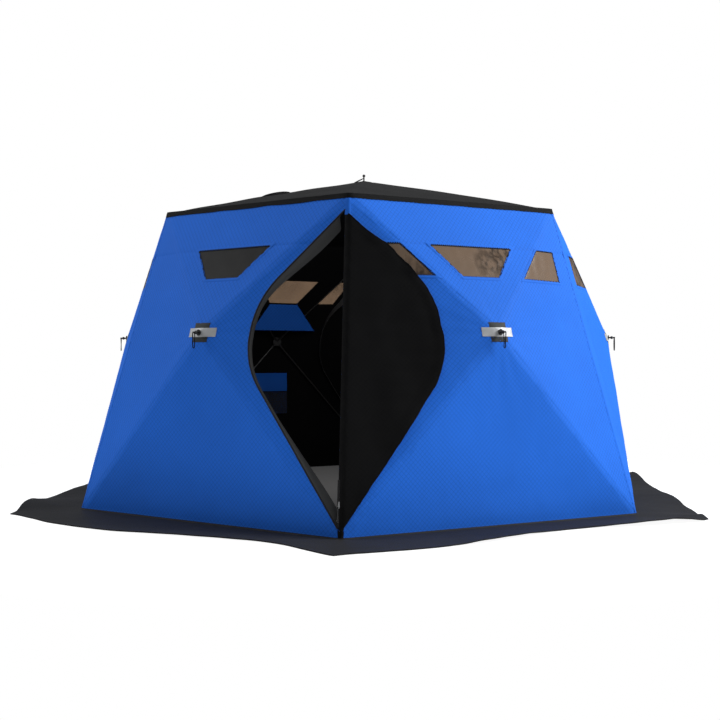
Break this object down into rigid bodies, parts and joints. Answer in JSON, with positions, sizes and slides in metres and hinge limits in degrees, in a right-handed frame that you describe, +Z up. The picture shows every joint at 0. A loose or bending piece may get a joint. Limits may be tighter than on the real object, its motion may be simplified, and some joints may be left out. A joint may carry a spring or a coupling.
{
  "type": "ice fishing shelter",
  "caption": "Hexagonal pop-up ice fishing shelter with hub walls, corner doors, windows with covers and a snow skirt.",
  "frame": {"origin": "middle of the floor plan, on the ground under the snow skirt", "axes": "+Z up, -Y towards the front door's corner"},
  "size_m": [4.0704, 4.7, 2.202],
  "materials": {
    "wall_fabric": "quilted polyester, blue outside and black inside",
    "roof_fabric": "matte woven polyester, charcoal",
    "skirt_fabric": "matte woven polyester, charcoal",
    "grey_fabric": "plain woven, dark grey",
    "patch_fabric": "heavy woven backing",
    "reflective_tape": "silver reflective tape, stitched",
    "vinyl": "tinted clear vinyl film",
    "border_fabric": "folded hem, stitched",
    "cover_fabric": "quilted, blue on the room side",
    "webbing": "black webbing",
    "moulded_nylon": "moulded nylon, slightly grained",
    "fibreglass": "solid fibreglass, black",
    "zip_metal": "cast zip slider",
    "pull_cord": "grey braided cord",
    "pocket_mesh": "blue panel over black mesh"
  },
  "bodies": {
    "shelter": {"door_plackets": "grey_fabric", "front_zip_slider": "zip_metal", "hub_back_left": "moulded_nylon", "hub_back_right": "moulded_nylon", "hub_front_left": "moulded_nylon", "hub_front_right": "moulded_nylon", "hub_left": "moulded_nylon", "hub_patches": "patch_fabric", "hub_posts": "moulded_nylon", "hub_right": "moulded_nylon", "hub_roof": "moulded_nylon", "lower_sockets": "moulded_nylon", "reflective_strips": "reflective_tape", "rods_back_left": "fibreglass", "rods_back_right": "fibreglass", "rods_front_left": "fibreglass", "rods_front_right": "fibreglass", "rods_left": "fibreglass", "rods_right": "fibreglass", "rods_roof": "fibreglass", "roof": "roof_fabric", "roof_vent": "roof_fabric", "snow_skirt": "skirt_fabric", "storage_pocket": "pocket_mesh", "upper_sockets": "moulded_nylon", "wall_back_left": "wall_fabric", "wall_back_right": "wall_fabric", "wall_front_left": "wall_fabric", "wall_front_right": "wall_fabric", "wall_left": "wall_fabric", "wall_right": "wall_fabric", "window_borders": "border_fabric", "window_panes": "vinyl"},
    "front_door": {"front_door": "wall_fabric"},
    "rear_door": {"rear_door": "wall_fabric", "rear_zip_slider": "zip_metal"},
    "front_zip_pull": {"front_zip_pull": "pull_cord"},
    "rear_zip_pull": {"rear_zip_pull": "pull_cord"},
    "cover_back_left_top": {"cover_back_left_top": "cover_fabric"},
    "cover_left_top": {"cover_left_top": "cover_fabric"},
    "cover_left_right": {"cover_left_right": "cover_fabric"},
    "cover_left_left": {"cover_left_left": "cover_fabric"},
    "cover_front_left_top": {"cover_front_left_top": "cover_fabric"},
    "cover_front_right_top": {"cover_front_right_top": "cover_fabric"},
    "cover_front_right_right": {"cover_front_right_right": "cover_fabric"},
    "cover_front_right_left": {"cover_front_right_left": "cover_fabric"},
    "cover_right_top": {"cover_right_top": "cover_fabric"},
    "cover_right_right": {"cover_right_right": "cover_fabric"},
    "cover_right_left": {"cover_right_left": "cover_fabric"},
    "cover_back_right_top": {"cover_back_right_top": "cover_fabric"},
    "cover_back_right_right": {"cover_back_right_right": "cover_fabric"},
    "cover_back_right_left": {"cover_back_right_left": "cover_fabric"},
    "pull_loop_back_left": {"pull_loop_back_left": "webbing"},
    "pull_loop_left": {"pull_loop_left": "webbing"},
    "pull_loop_front_left": {"pull_loop_front_left": "webbing"},
    "pull_loop_front_right": {"pull_loop_front_right": "webbing"},
    "pull_loop_right": {"pull_loop_right": "webbing"},
    "pull_loop_back_right": {"pull_loop_back_right": "webbing"},
    "pull_loop_roof": {"pull_loop_roof": "webbing"}
  },
  "joints": [
    {"name": "front_door_hinge", "type": "hinge", "parent": "shelter", "child": "front_door", "pos_m": [0, -1.93679, 0.00285], "axis": [0, 0.2792, 0.9602], "range_deg": [-202.29, 0]},
    {"name": "rear_door_hinge", "type": "hinge", "parent": "shelter", "child": "rear_door", "pos_m": [0, 1.93679, 0.00285], "axis": [0, -0.2792, 0.9602], "range_deg": [-202.29, 0]},
    {"name": "front_zip_pull_swing", "type": "hinge", "parent": "shelter", "child": "front_zip_pull", "pos_m": [-0.01446, -1.88021, 0.15985], "axis": [-0.9796, 0.201, 0], "range_deg": [0, 100]},
    {"name": "rear_zip_pull_swing", "type": "hinge", "parent": "rear_door", "child": "rear_zip_pull", "pos_m": [-0.11459, 1.46031, 1.57714], "axis": [0.9796, 0.201, 0], "range_deg": [0, 100]},
    {"name": "cover_back_left_top_hinge", "type": "hinge", "parent": "shelter", "child": "cover_back_left_top", "pos_m": [-0.73805, 1.27833, 1.37379], "axis": [-0.866, -0.5, 0], "range_deg": [0, 149.03]},
    {"name": "cover_left_top_hinge", "type": "hinge", "parent": "shelter", "child": "cover_left_top", "pos_m": [-1.47609, 0, 1.37379], "axis": [0, -1, 0], "range_deg": [0, 149.03]},
    {"name": "cover_left_right_hinge", "type": "hinge", "parent": "shelter", "child": "cover_left_right", "pos_m": [-1.41153, -0.47025, 1.37506], "axis": [0.3157, -0.9489, 0], "range_deg": [0, 164.1]},
    {"name": "cover_left_left_hinge", "type": "hinge", "parent": "shelter", "child": "cover_left_left", "pos_m": [-1.41153, 0.47025, 1.37506], "axis": [-0.3157, -0.9489, 0], "range_deg": [0, 164.1]},
    {"name": "cover_front_left_top_hinge", "type": "hinge", "parent": "shelter", "child": "cover_front_left_top", "pos_m": [-0.73805, -1.27833, 1.37379], "axis": [0.866, -0.5, 0], "range_deg": [-149.03, 0]},
    {"name": "cover_front_right_top_hinge", "type": "hinge", "parent": "shelter", "child": "cover_front_right_top", "pos_m": [0.73805, -1.27833, 1.37379], "axis": [0.866, 0.5, 0], "range_deg": [0, 149.03]},
    {"name": "cover_front_right_right_hinge", "type": "hinge", "parent": "shelter", "child": "cover_front_right_right", "pos_m": [1.11301, -0.9873, 1.37506], "axis": [0.6639, 0.7478, 0], "range_deg": [0, 164.1]},
    {"name": "cover_front_right_left_hinge", "type": "hinge", "parent": "shelter", "child": "cover_front_right_left", "pos_m": [0.29852, -1.45754, 1.37506], "axis": [0.9796, 0.201, 0], "range_deg": [0, 164.1]},
    {"name": "cover_right_top_hinge", "type": "hinge", "parent": "shelter", "child": "cover_right_top", "pos_m": [1.47609, 0, 1.37379], "axis": [0, 1, 0], "range_deg": [0, 149.03]},
    {"name": "cover_right_right_hinge", "type": "hinge", "parent": "shelter", "child": "cover_right_right", "pos_m": [1.41153, 0.47025, 1.37506], "axis": [-0.3157, 0.9489, 0], "range_deg": [0, 164.1]},
    {"name": "cover_right_left_hinge", "type": "hinge", "parent": "shelter", "child": "cover_right_left", "pos_m": [1.41153, -0.47025, 1.37506], "axis": [0.3157, 0.9489, 0], "range_deg": [0, 164.1]},
    {"name": "cover_back_right_top_hinge", "type": "hinge", "parent": "shelter", "child": "cover_back_right_top", "pos_m": [0.73805, 1.27833, 1.37379], "axis": [-0.866, 0.5, 0], "range_deg": [0, 149.03]},
    {"name": "cover_back_right_right_hinge", "type": "hinge", "parent": "shelter", "child": "cover_back_right_right", "pos_m": [0.29852, 1.45754, 1.37506], "axis": [-0.9796, 0.201, 0], "range_deg": [0, 164.1]},
    {"name": "cover_back_right_left_hinge", "type": "hinge", "parent": "shelter", "child": "cover_back_right_left", "pos_m": [1.11301, 0.9873, 1.37506], "axis": [-0.6639, 0.7478, 0], "range_deg": [0, 164.1]},
    {"name": "pull_loop_back_left_swing", "type": "hinge", "parent": "shelter", "child": "pull_loop_back_left", "pos_m": [-0.85652, 1.48353, 1.068], "axis": [0.866, 0.5, 0], "range_deg": [-20, 110]},
    {"name": "pull_loop_left_swing", "type": "hinge", "parent": "shelter", "child": "pull_loop_left", "pos_m": [-1.71303, 0, 1.068], "axis": [0, 1, 0], "range_deg": [-20, 110]},
    {"name": "pull_loop_front_left_swing", "type": "hinge", "parent": "shelter", "child": "pull_loop_front_left", "pos_m": [-0.85652, -1.48353, 1.068], "axis": [-0.866, 0.5, 0], "range_deg": [-20, 110]},
    {"name": "pull_loop_front_right_swing", "type": "hinge", "parent": "shelter", "child": "pull_loop_front_right", "pos_m": [0.85652, -1.48353, 1.068], "axis": [-0.866, -0.5, 0], "range_deg": [-20, 110]},
    {"name": "pull_loop_right_swing", "type": "hinge", "parent": "shelter", "child": "pull_loop_right", "pos_m": [1.71303, 0, 1.068], "axis": [0, -1, 0], "range_deg": [-20, 110]},
    {"name": "pull_loop_back_right_swing", "type": "hinge", "parent": "shelter", "child": "pull_loop_back_right", "pos_m": [0.85652, 1.48353, 1.068], "axis": [0.866, -0.5, 0], "range_deg": [-20, 110]},
    {"name": "pull_loop_roof_swing", "type": "hinge", "parent": "shelter", "child": "pull_loop_roof", "pos_m": [0, 0, 2.176], "axis": [-0.5, 0.866, 0], "range_deg": [0, 68]}
  ]
}
